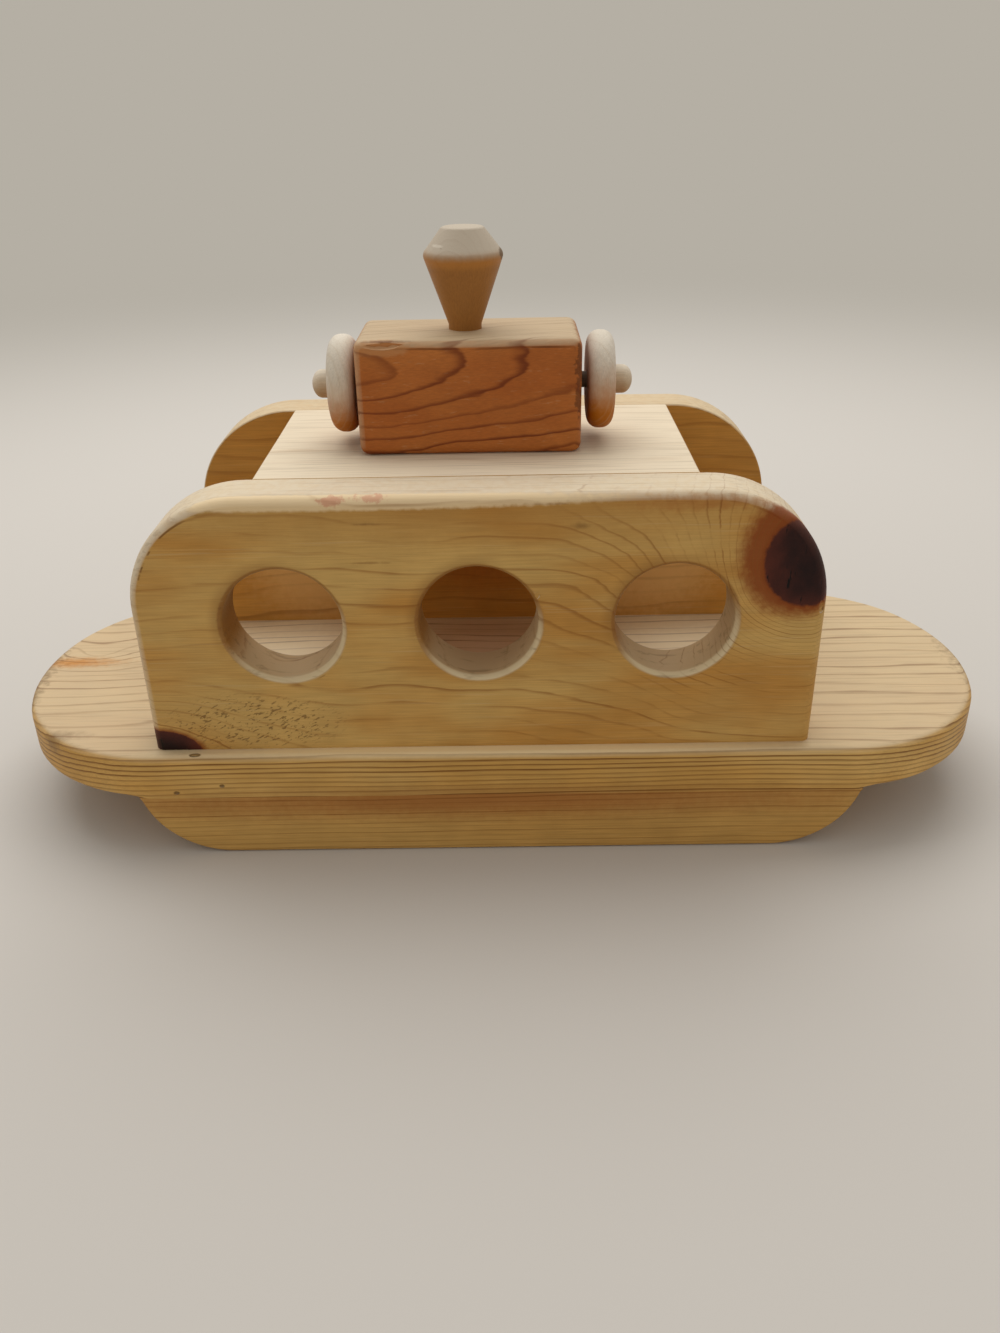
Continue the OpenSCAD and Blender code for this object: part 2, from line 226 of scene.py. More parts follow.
def sawn_wood(name, pale, warm, late, pith, ring, centre=(0, 0, 0), turn=(0, 0, 0), contrast=0.6,
              broken=0.6, late_share=0.4, varied=0.8, wander=6.0, wander_length=160.0, bends=(),
              knots=(), stains=(), bores=(), faces="Y", wear=0.85, bare="#D8C3A0", top_fade=0.5,
              bare_lines=0.55, rough=0.46, pitted=None):
    """Wood of one board: growth rings about a pith that lies off the board, cut by whatever face shows.
    All lengths are in mm, and the grain runs along X after the turn. Pale and warm are the tones of
    the early wood, late is the dark line of each year, and faces is the axis that the broad faces look
    along. Each bend pushes the rings out round a knot as (centre, radii, number of rings). Each knot
    is (centre, radii, width of its halo), each stain (centre, radii, colour, strength, raggedness,
    softness) and each bore (centre, radius). Pitted is (centre, radii, lean in degrees)."""
    made = bpy.data.materials.new(name)
    made.use_nodes = True
    tree = made.node_tree
    tree.nodes.clear()
    place = add(tree, "TexCoord", out="Object")
    place = add(tree, "VectorMath", {0: place, "Scale": 1 / MM}, operation="SCALE")
    moved = add(tree, "Mapping", {"Vector": place, "Location": [-c for c in centre]})
    grain = add(tree, "Mapping", {"Vector": moved, "Rotation": turn})

    def distance(middle, size):
        """How far a point is from a middle, in units of the radii given."""
        shift = [-m / r for m, r in zip(middle, size)]
        scaled = add(tree, "Mapping", {"Vector": place, "Location": shift, "Scale": [1 / r for r in size]})
        return add(tree, "VectorMath", [scaled], out="Value", operation="LENGTH")

    # Each pattern's frequency along and across the grain, in features per mm. Real fibres are finer than
    # these, but wouldn't show. The last two are for knots alone.
    knot_patterns = (("heart", place, (0.07, 0.07, 0.06), 4.0), ("crack", place, (0.4, 0.4, 0.09), 3.0))
    pattern = {}
    for label, where, frequency, detail in (
            ("waver", grain, (0.012, 0.11, 0.11), 3.0), ("fading", grain, (0.016, 0.13, 0.13), 3.0),
            ("fibre", grain, (0.05, 2.2, 2.2), 4.0), ("cloud", grain, (0.008, 0.03, 0.03), 3.0),
            ("mottle", place, (0.05, 0.05, 0.05), 2.0), ("streak", grain, (0.02, 0.8, 0.8), 2.0),
            ("scratch", grain, (0.02, 0.9, 0.9), 3.0), ("grime", place, (0.03, 0.3, 0.3), 4.0),
            ("ragged", place, (0.35, 0.35, 0.35), 4.0), *(knot_patterns if knots else ())):
        scaled = add(tree, "Mapping", {"Vector": where, "Scale": frequency})
        settings = {"Vector": scaled, "Scale": 1.0, "Detail": detail, "Roughness": 0.6}
        pattern[label] = add(tree, "TexNoise", settings)
    smooth = {"interpolation_type": "SMOOTHSTEP"}

    # Boards are never quite straight in the tree: the rings wander along the grain.
    slow = add(tree, "Mapping", {"Vector": grain, "Scale": (1 / wander_length, 0.012, 0.012)})
    drift = add(tree, "TexNoise", {"Vector": slow, "Scale": 1.0}, out="Color")
    drift = add(tree, "VectorMath", [drift, (0.5, 0.5, 0.5)], operation="SUBTRACT")
    drift = add(tree, "VectorMath", [drift, (0, 2 * wander, 2 * wander)], operation="MULTIPLY")
    across = add(tree, "VectorMath", [grain, drift], operation="ADD")
    across = add(tree, "VectorMath", [across, (0, 1, 1), (0, -pith[0], -pith[1])], operation="MULTIPLY_ADD")
    rings = add(tree, "VectorMath", [across], out="Value", operation="LENGTH")
    rings = add(tree, "Math", [rings, ring], operation="DIVIDE")
    crowding = 0.0
    for middle, size, amount in bends:
        push = add(tree, "Math", [distance(middle, size), -1.0], operation="MULTIPLY")
        push = add(tree, "Math", [push], operation="EXPONENT")
        rings = add(tree, "Math", [push, amount, rings], operation="MULTIPLY_ADD")
        tight = add(tree, "MapRange", [push, 0.22, 0.42, 0.0, 1.0], **smooth)
        crowding = add(tree, "Math", [crowding, tight], operation="MAXIMUM")
    rings = add(tree, "Math", [pattern["waver"], 0.9, rings], operation="MULTIPLY_ADD")
    # Each year: pale early wood, then late wood that darkens slowly and ends sharply, thinner on top.
    normal = tree.nodes.new("ShaderNodeSeparateXYZ")
    tree.links.new(add(tree, "TexCoord", out="Normal"), normal.inputs[0])
    starts = (1 - late_share, 1 - late_share / 2)
    early = add(tree, "MapRange", [normal.outputs["Z"], 0.7, 0.95, *starts], **smooth)
    share = add(tree, "Math", [rings], operation="FRACT")
    year = add(tree, "Math", [rings], operation="FLOOR")
    year = add(tree, "TexWhiteNoise", {"W": year}, noise_dimensions="1D")
    darkest = 0.92
    rise = add(tree, "MapRange", [share, early, darkest, 0.0, 1.0], **smooth)
    fall = add(tree, "MapRange", [share, darkest, 1.0, 1.0, 0.0], **smooth)
    strength = add(tree, "MapRange", [year, 0.0, 1.0, 1 - varied, 1.0])
    late_wood = add(tree, "Math", [rise, fall], operation="MULTIPLY")
    late_wood = add(tree, "Math", [late_wood, strength], operation="MULTIPLY")
    # The dark lines come and go along the board, except where rings crowd round a knot.
    kept = add(tree, "MapRange", [pattern["fading"], 0.42, 0.6, 1 - broken, 1.0], **smooth)
    kept = add(tree, "Math", [kept, crowding], operation="MAXIMUM")
    late_wood = add(tree, "Math", [late_wood, kept], operation="MULTIPLY")
    warmth = add(tree, "MapRange", [pattern["cloud"], 0.36, 0.64, 0.0, 1.0], **smooth)
    colour = add(tree, "Mix", {0: warmth, 6: linear(pale), 7: linear(warm)}, out=2, data_type="RGBA")
    shade = add(tree, "MapRange", [pattern["fibre"], 0.25, 0.75, 0.9, 1.1], **smooth)
    dapple = add(tree, "MapRange", [pattern["mottle"], 0.3, 0.7, 0.95, 1.05], **smooth)
    shade = add(tree, "Math", [shade, dapple], operation="MULTIPLY")
    colour = add(tree, "VectorMath", {0: colour, "Scale": shade}, operation="SCALE")
    height = add(tree, "Math", [late_wood, 0.4, pattern["fibre"]], operation="MULTIPLY_ADD")

    # Upper faces are paler, partly bleached and rubbed and partly painted sheen. Eased edges are rubbed to
    # bare wood, up to a crisp line, only where they face up and left toward the light: partly wear, partly
    # painted light.
    flat = add(tree, "Math", [normal.outputs[faces]], operation="ABSOLUTE")
    lit = add(tree, "Math", [normal.outputs["X"], -0.4, normal.outputs["Z"]], operation="MULTIPLY_ADD")
    worn = add(tree, "MapRange", [flat, 0.985, 0.94, 0.0, 1.0], **smooth)
    if faces == "Z":
        spared = add(tree, "MapRange", [flat, 0.3, 0.6, 0.0, 1.0], **smooth)
    else:
        end_grain = add(tree, "Math", [normal.outputs["X"]], operation="ABSOLUTE")
        spared = add(tree, "MapRange", [end_grain, 0.85, 0.99, 1.0, 0.15], **smooth)
    worn = add(tree, "Math", [worn, spared], operation="MULTIPLY")
    upper = add(tree, "MapRange", [lit, -0.1, 0.6, 0.0, 1.0], **smooth)
    worn = add(tree, "Math", [worn, upper], operation="MULTIPLY")
    patchy = add(tree, "MapRange", [pattern["ragged"], 0.35, 0.6, 0.86 * wear, wear], **smooth)
    rubbed = add(tree, "Math", [worn, patchy], operation="MULTIPLY")
    # Painted sheen with bleaching: upward faces turn paler.
    upward = add(tree, "MapRange", [normal.outputs["Z"], 0.55, 0.95, 0.0, top_fade], **smooth)
    rubbed = add(tree, "Math", [rubbed, upward], operation="MAXIMUM")
    # Grime settles in a thin broken line where the rubbed edge meets the face.
    seam = add(tree, "MapRange", [flat, 0.999, 0.992, 0.0, 0.7 if faces == "Y" else 0.0], **smooth)
    for value, low, high in (
            (flat, 0.95, 0.975), (pattern["grime"], 0.42, 0.6), (normal.outputs["Z"], 0.02, 0.08)):
        held = add(tree, "MapRange", [value, low, high, 0.0, 1.0], **smooth)
        seam = add(tree, "Math", [seam, held], operation="MULTIPLY")
    # Bores are brown: old varnish with painted shade. Where they face up and left they turn pale, partly
    # rubbed and partly painted light, most along the rim. Specks of soil lie all round, and painted shade
    # darkens the face beside their upper left.
    for middle, radius in bores:
        eased = (radius + 2.3, radius + 3.4)
        beside = add(tree, "VectorMath", [place, middle], operation="SUBTRACT")
        beside = add(tree, "VectorMath", [beside, (1, 0, 1)], operation="MULTIPLY")
        away = add(tree, "VectorMath", [beside], out="Value", operation="LENGTH")
        near = add(tree, "MapRange", [away, *eased, 1.0, 0.0], **smooth)
        clear = add(tree, "MapRange", [away, *eased, 0.0, 1.0], **smooth)
        seam = add(tree, "Math", [seam, clear], operation="MULTIPLY")
        # Painted shade on the face beside the bore's upper left.
        corner = add(tree, "VectorMath", [beside, (-0.75, 0, 0.65)], out="Value", operation="DOT_PRODUCT")
        corner = add(tree, "MapRange", [corner, 4.0, radius, 0.0, 0.42], **smooth)
        soft = add(tree, "MapRange", [away, radius + 0.5, radius + 6.5, 1.0, 0.0], **smooth)
        corner = add(tree, "Math", [corner, soft], operation="MULTIPLY")
        colour = add(tree, "Mix", {0: corner, 6: colour, 7: linear(PAINTED_RIM_SHADE)}, out=2, data_type="RGBA")
        # Brown all over the bore: old varnish with painted shade.
        edged = add(tree, "Math", [pattern["ragged"], 0.05, flat], operation="MULTIPLY_ADD")
        curved = add(tree, "MapRange", [edged, 1.02, 0.9, 0.0, 1.0], **smooth)
        browned = add(tree, "Math", [near, curved], operation="MULTIPLY")
        deep = add(tree, "Math", [browned, 0.65], operation="MULTIPLY")
        colour = add(tree, "Mix", {0: deep, 6: colour, 7: linear(BORE_VARNISH_AND_SHADE)}, out=2, data_type="RGBA")
        # Painted light: the bore's lower part, facing up and left, turns pale, partly as rubbed wood.
        lower = add(tree, "MapRange", [lit, -0.1, 0.5, 0.0, 0.92], **smooth)
        rim = add(tree, "MapRange", [flat, 0.2, 0.5, 0.6, 1.0], **smooth)
        lower = add(tree, "Math", [lower, rim], operation="MULTIPLY")
        lower = add(tree, "Math", [lower, browned], operation="MULTIPLY")
        colour = add(tree, "Mix", {0: lower, 6: colour, 7: linear(RUBBED_AND_LIT_BORE)}, out=2, data_type="RGBA")
        soiled = add(tree, "MapRange", [pattern["grime"], 0.56, 0.7, 0.0, 0.35], **smooth)
        soiled = add(tree, "Math", [soiled, browned], operation="MULTIPLY")
        colour = add(tree, "Mix", {0: soiled, 6: colour, 7: linear(BORE_SOIL)}, out=2, data_type="RGBA")
        rubbed = add(tree, "Math", [rubbed, clear], operation="MULTIPLY")
    # Rubbed and lit parts take the pale colour: wear with painted light and sheen.
    colour = add(tree, "Mix", {0: rubbed, 6: colour, 7: linear(bare)}, out=2, data_type="RGBA")
    if pitted:
        middle, size, lean = pitted
        inside = add(tree, "MapRange", [distance(middle, size), 0.5, 1.0, 1.0, 0.0], **smooth)
        leaning = add(tree, "Mapping", {"Vector": place, "Rotation": (0, math.radians(lean), 0)})
        leaning = add(tree, "Mapping", {"Vector": leaning, "Scale": (0.42, 1.3, 1.3)})
        flecks = add(tree, "TexNoise", {"Vector": leaning, "Scale": 1.0, "Detail": 2.0, "Roughness": 0.6})
        flecks = add(tree, "MapRange", [flecks, 0.57, 0.65, 0.0, 1.0], **smooth)
        flecks = add(tree, "Math", [flecks, inside], operation="MULTIPLY")
        height = add(tree, "Math", [flecks, -1.6, height], operation="MULTIPLY_ADD")
        flecks = add(tree, "Math", [flecks, 0.6], operation="MULTIPLY")
        colour = add(tree, "Mix", {0: flecks, 6: colour, 7: linear(PIT_BOTTOM)}, out=2, data_type="RGBA")
    scratch = add(tree, "MapRange", [pattern["scratch"], 0.6, 0.72, 0.0, 0.16 * wear], **smooth)
    colour = add(tree, "Mix", {0: scratch, 6: colour, 7: linear(SCRATCHED)}, out=2, data_type="RGBA")
    streak = add(tree, "MapRange", [pattern["streak"], 0.52, 0.66, 0.0, 0.3], **smooth)
    streak = add(tree, "Math", [streak, rubbed], operation="MULTIPLY")
    colour = add(tree, "Mix", {0: streak, 6: colour, 7: linear(GREYED)}, out=2, data_type="RGBA")
    colour = add(tree, "Mix", {0: seam, 6: colour, 7: linear(SEAM_SOIL)}, out=2, data_type="RGBA")

    for middle, size, hue, amount, rag, soft in stains:
        torn = add(tree, "Math", [pattern["ragged"], rag, distance(middle, size)], operation="MULTIPLY_ADD")
        edge = (1 - soft + rag / 2, 1 + soft / 3 + rag / 2)
        patch = add(tree, "MapRange", [torn, *edge, amount, 0.0], **smooth)
        colour = add(tree, "Mix", {0: patch, 6: colour, 7: linear(hue)}, out=2, data_type="RGBA")
    # The dark lines show through wear and stains.
    lines = add(tree, "Math", [rubbed, bare_lines - 1, 1.0], operation="MULTIPLY_ADD")
    lines = add(tree, "Math", [late_wood, lines], operation="MULTIPLY")
    lines = add(tree, "Math", [lines, contrast], operation="MULTIPLY")
    colour = add(tree, "Mix", {0: lines, 6: colour, 7: linear(late)}, out=2, data_type="RGBA")
    # A knot is nearly black, redder towards its rim, cracked, scuffed where its edge is rubbed, and in a
    # burnt orange halo.
    for middle, size, halo in knots:
        torn = add(tree, "Math", [pattern["ragged"], 0.12, distance(middle, size)], operation="MULTIPLY_ADD")
        ringed = add(tree, "MapRange", [torn, 1.04, 1.07 + halo, 0.85, 0.0], **smooth)
        colour = add(tree, "Mix", {0: ringed, 6: colour, 7: linear(KNOT_HALO)}, out=2, data_type="RGBA")
        core = add(tree, "MapRange", [torn, 1.02, 1.08, 1.0, 0.0], **smooth)
        red = add(tree, "Math", [torn, pattern["heart"]], operation="ADD")
        red = add(tree, "MapRange", [red, 1.0, 1.8, 0.0, 1.0], **smooth)
        tones = {0: red, 6: linear(KNOT_BLACK), 7: linear(KNOT_RED)}
        heart = add(tree, "Mix", tones, out=2, data_type="RGBA")
        crack = add(tree, "MapRange", [pattern["crack"], 0.62, 0.7, 0.0, 1.0], **smooth)
        heart = add(tree, "Mix", {0: crack, 6: heart, 7: linear(KNOT_CRACK)}, out=2, data_type="RGBA")
        colour = add(tree, "Mix", {0: core, 6: colour, 7: heart}, out=2, data_type="RGBA")
        scuffed = add(tree, "Math", [rubbed, core], operation="MULTIPLY")
        scuffed = add(tree, "Math", [scuffed, 0.45], operation="MULTIPLY")
        colour = add(tree, "Mix", {0: scuffed, 6: colour, 7: linear(KNOT_SCUFF)}, out=2, data_type="RGBA")
        split = add(tree, "Math", [crack, core], operation="MULTIPLY")
        height = add(tree, "Math", [split, -1.5, height], operation="MULTIPLY_ADD")
    relief = add(tree, "Bump", {"Height": height, "Distance": 0.00012, "Strength": 0.7})
    sheen = add(tree, "MapRange", [pattern["fibre"], 0.3, 0.7, rough - 0.05, rough + 0.08], **smooth)
    sheen = add(tree, "Math", [rubbed, 0.2, sheen], operation="MULTIPLY_ADD")
    shader = add(tree, "BsdfPrincipled", {
        "Base Color": colour, "Roughness": sheen, "IOR": 1.5, "Normal": relief, "Specular IOR Level": 0.18})
    add(tree, "OutputMaterial", {"Surface": shader})
    return made


# The deck's end is a blunt nose arc between two shoulder arcs that meet its straight sides.
HALF_WIDTH, NOSE_RADIUS, END_LENGTH, DECK_LENGTH = DECK_WIDTH / 2, 90.0, 71.0, 411.0
nose_back = NOSE_RADIUS - END_LENGTH
shoulder = (NOSE_RADIUS ** 2 - nose_back ** 2 - HALF_WIDTH ** 2) / (2 * (NOSE_RADIUS - HALF_WIDTH))
shoulder_y = HALF_WIDTH - shoulder
nose_angle = math.atan2(shoulder_y, nose_back)
straight_end = DECK_LENGTH / 2 - END_LENGTH

arc_rise = HULL_ARC - HULL_DEPTH
arc_start = HULL_LENGTH / 2 - math.sqrt(HULL_ARC ** 2 - arc_rise ** 2)
end_reach = arc_start + HULL_ARC
# How near to a plane an edge counts as lying in it, the board's depth before its top is sawn off, and
# the cuts that let the easing vary along a straight edge.
NEAR, ROUGH_DEPTH, LONG_CUTS = 1.0, 40, range(-132, 133, 12)
hull = block("hull_board_planed", (-end_reach, -HALF_WIDTH, 0), (end_reach, HALF_WIDTH, ROUGH_DEPTH))
pick(hull, edges=lambda m: m.z < NEAR and abs(m.x) > end_reach - NEAR)
bpy.ops.mesh.bevel(offset=HULL_ARC * MM, segments=28, affect="EDGES")
bpy.ops.object.mode_set(mode="OBJECT")
saw(hull, (0, 0, HULL_DEPTH), (0, 0, 1), clear=True)
for cut in LONG_CUTS:
    saw(hull, (cut, 0, 0), (1, 0, 0))
for point in hull.data.vertices:
    past = abs(point.co.x) / MM - straight_end
    if past > 0:
        side = shoulder_y + math.sqrt(shoulder ** 2 - past ** 2)
        point.co.y = math.copysign(min(abs(point.co.y), side * MM), point.co.y)
ease(hull, lambda m: 0.0 if m.z > HULL_DEPTH - 0.5 else HULL_EASE)
# Satin varnished pine, planed and cut on the quarter: close faint straight lines, a redder band on top.
hull_pine = sawn_wood(
    "satin varnished pine, planed hull board", "#CBA05A", "#C29550", "#82501E", pith=(-190, -140), ring=1.9,
    contrast=0.9, broken=0.35, wander=3, wander_length=260, top_fade=0.1, wear=0.4,
    stains=[((-10, -76, 24), (170, 9, 10), "#A05E28", 0.72, 0.5, 0.9)])
settle(hull, "boat", "varnished_pine", hull_pine, "hull_board")


# Deck board: one pine board with close straight grain, band-sawn to its outline and rounded over
# along its top edge, and below only where it stands out past the hull. Small dents from play.
DECK_LOW, DECK_TOP, DECK_TOP_EASE, DECK_LOW_EASE = HULL_DEPTH, 45.0, 3.5, 2.5
TOUCHING = 1e-5
bpy.ops.object.select_all(action="DESELECT")
bpy.ops.mesh.primitive_plane_add(
    size=2 * MM, location=Vector((straight_end + 1, 1 - HALF_WIDTH, DECK_LOW)) * MM)
deck = bpy.context.object
deck.name = deck.data.name = "deck_board_rounded"
bpy.ops.object.transform_apply(location=True, rotation=False, scale=False)
# Only the corner where the outline starts is kept, and spun round the three arcs of one end.
start = min(range(4), key=lambda i: deck.data.vertices[i].co.x + deck.data.vertices[i].co.y)
bpy.ops.object.mode_set(mode="EDIT")
bpy.ops.mesh.select_mode(type="VERT")
form = bmesh.from_edit_mesh(deck.data)
for point in form.verts:
    point.select_set(point.index != start)
bmesh.update_edit_mesh(deck.data)
bpy.ops.mesh.delete(type="VERT")
bpy.ops.mesh.select_all(action="SELECT")
shoulder_turn = math.pi / 2 - nose_angle
for middle, angle, steps in (((straight_end, -shoulder_y), shoulder_turn, 18),
                             ((straight_end - nose_back, 0), 2 * nose_angle, 12),
                             ((straight_end, shoulder_y), shoulder_turn, 18)):
    bpy.ops.mesh.spin(steps=steps, angle=angle, center=Vector((*middle, DECK_LOW)) * MM, axis=(0, 0, -1))
bpy.ops.object.mode_set(mode="OBJECT")
mirror = deck.modifiers.new("other end", "MIRROR")
mirror.use_axis = (True, False, False)
bpy.ops.object.modifier_apply(modifier=mirror.name)
bpy.ops.object.mode_set(mode="EDIT")
for side in (-1, 1):
    bpy.ops.mesh.select_all(action="DESELECT")
    form = bmesh.from_edit_mesh(deck.data)
    for point in form.verts:
        point.select_set(abs(point.co.y - side * HALF_WIDTH * MM) < TOUCHING)
    bmesh.update_edit_mesh(deck.data)
    bpy.ops.mesh.edge_face_add()
bpy.ops.mesh.select_all(action="SELECT")
bpy.ops.mesh.edge_face_add()
bpy.ops.mesh.extrude_region_move(TRANSFORM_OT_translate={"value": (0, 0, (DECK_TOP - DECK_LOW) * MM)})
bpy.ops.mesh.select_all(action="SELECT")
bpy.ops.mesh.normals_make_consistent(inside=False)
bpy.ops.object.mode_set(mode="OBJECT")
for cut in LONG_CUTS:
    saw(deck, (cut, 0, 0), (1, 0, 0))


def deck_ease(middle):
    """Radius that a deck edge is sanded to: all round on top, and below only past the hull."""
    if middle.z > DECK_TOP - 5:
        return DECK_TOP_EASE
    return DECK_LOW_EASE if abs(middle.x) > HULL_LENGTH / 2 else 0.0


ease(deck, deck_ease, steps=6)


def chip(piece, place, size, lean=0.0, seed=1):
    """Knocks a small rough hollow out of a piece, in mm, with a lumpy cutter."""
    bpy.ops.object.select_all(action="DESELECT")
    bpy.ops.mesh.primitive_ico_sphere_add(subdivisions=3, radius=1)
    cutter = bpy.context.object
    for point in cutter.data.vertices:
        along, across, up = point.co
        point.co *= 1 + 0.3 * noise.noise(Vector((along * 1.2 + seed, across * 2.6, up * 2.6)))
    cutter.scale = Vector(size) * MM
    cutter.rotation_euler = (0, lean, 0)
    cutter.location = Vector(place) * MM
    bpy.ops.object.transform_apply(location=True, rotation=True, scale=True)
    bpy.context.view_layer.objects.active = piece
    cut = piece.modifiers.new("chip", "BOOLEAN")
    cut.operation, cut.solver, cut.object = "DIFFERENCE", "EXACT", cutter
    bpy.ops.object.modifier_apply(modifier=cut.name)
    bpy.data.objects.remove(cutter)


DENTS = (((164.7, -70, 45.2), (2.6, 1.3, 0.9)), ((-119.2, -73.2, 44.4), (2.4, 1.0, 0.9)),
         ((-128, -76.5, 29.1), (1.3, 0.9, 0.8)), ((-109.7, -76.5, 32.1), (1.1, 0.9, 0.8)))
for seed, (place, size) in enumerate(DENTS, start=1):
    chip(deck, place, size, seed=seed)
# Satin varnished pine with close straight grain: dark lines about 2.2 mm apart on the sawn edge, and wider
# apart on the top, which is paler from play and painted sheen. An orange streak and grime at the ends,
# painted shade redder in the middle between the walls, painted light in paler patches there, and dirt in the
# dents.
deck_pine = sawn_wood(
    "satin varnished pine, close straight grain", "#D8AF68", "#CB9C52", "#69380C", pith=(-230, -700),
    ring=2.2, contrast=1.0, broken=0.15, late_share=0.55, varied=0.6, wander=4, wander_length=220,
    faces="Z", wear=0.2, top_fade=0.66, bare="#D7C6A9", bare_lines=0.34,
    bends=[((-185, 15, 45), (30, 24, 60), 4.0)],
    stains=[((-195, 6, 46), (26, 5.5, 5), "#C98A45", 0.9, 1.0, 0.9),
            ((-208, 0, 42), (10, 62, 7), "#5A4028", 0.45, 2.2, 0.6),
            ((208, 0, 42), (10, 62, 7), "#5A4028", 0.3, 2.2, 0.6),
            ((-202, -30, 42), (5, 17, 6), "#6A5034", 0.5, 1.0, 0.8),
            ((-181, -57.5, 42), (18, 4.5, 6), "#6A5034", 0.5, 1.0, 0.8),
            # Painted light: a pale strip on the deck top in front of the near wall, against the wall's
            # shadow.
            ((-7, -73, 45.4), (138, 5, 2.4), "#FFE6B4", 0.85, 0.2, 0.6),
            ((-6, -76.5, 27), (150, 3, 5), "#96602C", 0.4, 0.5, 0.9),
            # Painted light in pale patches at the tunnel's open ends, and painted shade redder in its middle.
            ((-90, 12, 45), (46, 46, 3), "#FFEFCC", 0.9, 0.3, 0.9),
            ((76, 12, 45), (46, 46, 3), "#FFEFCC", 0.9, 0.3, 0.9),
            ((-7, 12, 45), (42, 50, 3), "#B0683C", 0.35, 0.3, 0.9),
            ((-119.2, -73.2, 44.6), (2.6, 1.1, 1.5), "#4A3522", 0.6, 0.3, 0.3),
            ((164.7, -70, 45), (2.6, 1.2, 1.5), "#5A4530", 0.5, 0.3, 0.3),
            ((-128, -76, 29.1), (1.4, 1.5, 0.9), "#4A3522", 0.6, 0.3, 0.4),
            ((-109.7, -76, 32.1), (1.2, 1.5, 0.9), "#4A3522", 0.6, 0.3, 0.4)])
settle(deck, "boat", "striped_pine", deck_pine, "deck")


# Side walls: flat-sawn pine with two black knots in the near one, upper corners sawn round,
# three portholes drilled through, outer edges rounded over. They are glued upright on the deck.
WALL_X, WALL_LENGTH, WALL_TOP, WALL_IN, WALL_OUT, WALL_CORNER = -7.0, 257.5, 148.0, 47.5, 69.5, 44.0
PORTHOLES, PORTHOLE_Z, PORTHOLE_R = (-80.0, -7.0, 66.0), 98.3, 22.225
ABOVE_HOLES, WALL_MIDDLE, DRILL_LENGTH = WALL_TOP - WALL_CORNER / 2, (WALL_IN + WALL_OUT) / 2, 60
OUTER_EASE, INNER_EASE, RIM_EASE, RIM_WEAR, ON_FACE = 4.0, 0.9, 2.4, 0.8, 0.1
wall = block("near_wall_bored", (WALL_X - WALL_LENGTH / 2, -WALL_OUT, DECK_TOP),
             (WALL_X + WALL_LENGTH / 2, -WALL_IN, WALL_TOP))
pick(wall, edges=lambda m: m.z > WALL_TOP - NEAR and abs(m.x - WALL_X) > WALL_LENGTH / 2 - NEAR)
bpy.ops.mesh.bevel(offset=WALL_CORNER * MM, segments=24, affect="EDGES")
bpy.ops.object.mode_set(mode="OBJECT")
saw(wall, (0, 0, ABOVE_HOLES), (0, 0, 1))
for cut in range(-86, 75, 8):
    saw(wall, (cut, 0, 0), (1, 0, 0), where=lambda middle, out: middle.z > ABOVE_HOLES)
for hole in PORTHOLES:
    saw(wall, (hole, 0, 0), (1, 0, 0), where=lambda middle, out: middle.z < ABOVE_HOLES)
for hole in PORTHOLES:
    bpy.ops.object.select_all(action="DESELECT")
    bpy.ops.mesh.primitive_cylinder_add(vertices=96, radius=PORTHOLE_R * MM, depth=DRILL_LENGTH * MM,
                                        rotation=(math.pi / 2, 0, 0),
                                        location=Vector((hole, -WALL_MIDDLE, PORTHOLE_Z)) * MM)
    drill = bpy.context.object
    bpy.context.view_layer.objects.active = wall
    bore = wall.modifiers.new("porthole", "BOOLEAN")
    bore.operation, bore.solver, bore.object = "DIFFERENCE", "EXACT", drill
    bpy.ops.object.modifier_apply(modifier=bore.name)
    bpy.data.objects.remove(drill)


def wall_ease(middle):
    """Radius that a wall's edge is sanded to: outer edges most, rims more at their lower right."""
    for hole in PORTHOLES:
        off = Vector((middle.x - hole, middle.z - PORTHOLE_Z))
        if off.length < PORTHOLE_R + 0.5:
            return RIM_EASE + RIM_WEAR * max(0.0, off.normalized().dot(Vector((0.7, -0.7))))
    outer = abs(middle.y) > WALL_OUT - ON_FACE
    if middle.z < DECK_TOP + ON_FACE:
        return 0.0
    return OUTER_EASE if outer else INNER_EASE


ease(wall, wall_ease, steps=5)
# The far wall mirrors the near one.
far_wall = wall.copy()
far_wall.data = wall.data.copy()
far_wall.name = far_wall.data.name = "far_wall_bored"
scene.collection.objects.link(far_wall)
far_wall.data.transform(Matrix.Scale(-1, 4, (0, 1, 0)))
bpy.ops.object.select_all(action="DESELECT")
bpy.context.view_layer.objects.active = far_wall
far_wall.select_set(True)
bpy.ops.object.mode_set(mode="EDIT")
bpy.ops.mesh.select_all(action="SELECT")
bpy.ops.mesh.normals_make_consistent(inside=False)
bpy.ops.object.mode_set(mode="OBJECT")
chip(wall, (120.8, -70.4, 103.6), (2.8, 2.4, 4.6), lean=0.1, seed=5)
chip(wall, (14.4, -71.0, 109.5), (2.4, 1.9, 3.4), lean=0.5, seed=6)
chip(wall, (89.6, -71.2, 96.0), (1.8, 1.8, 5.0), seed=7)
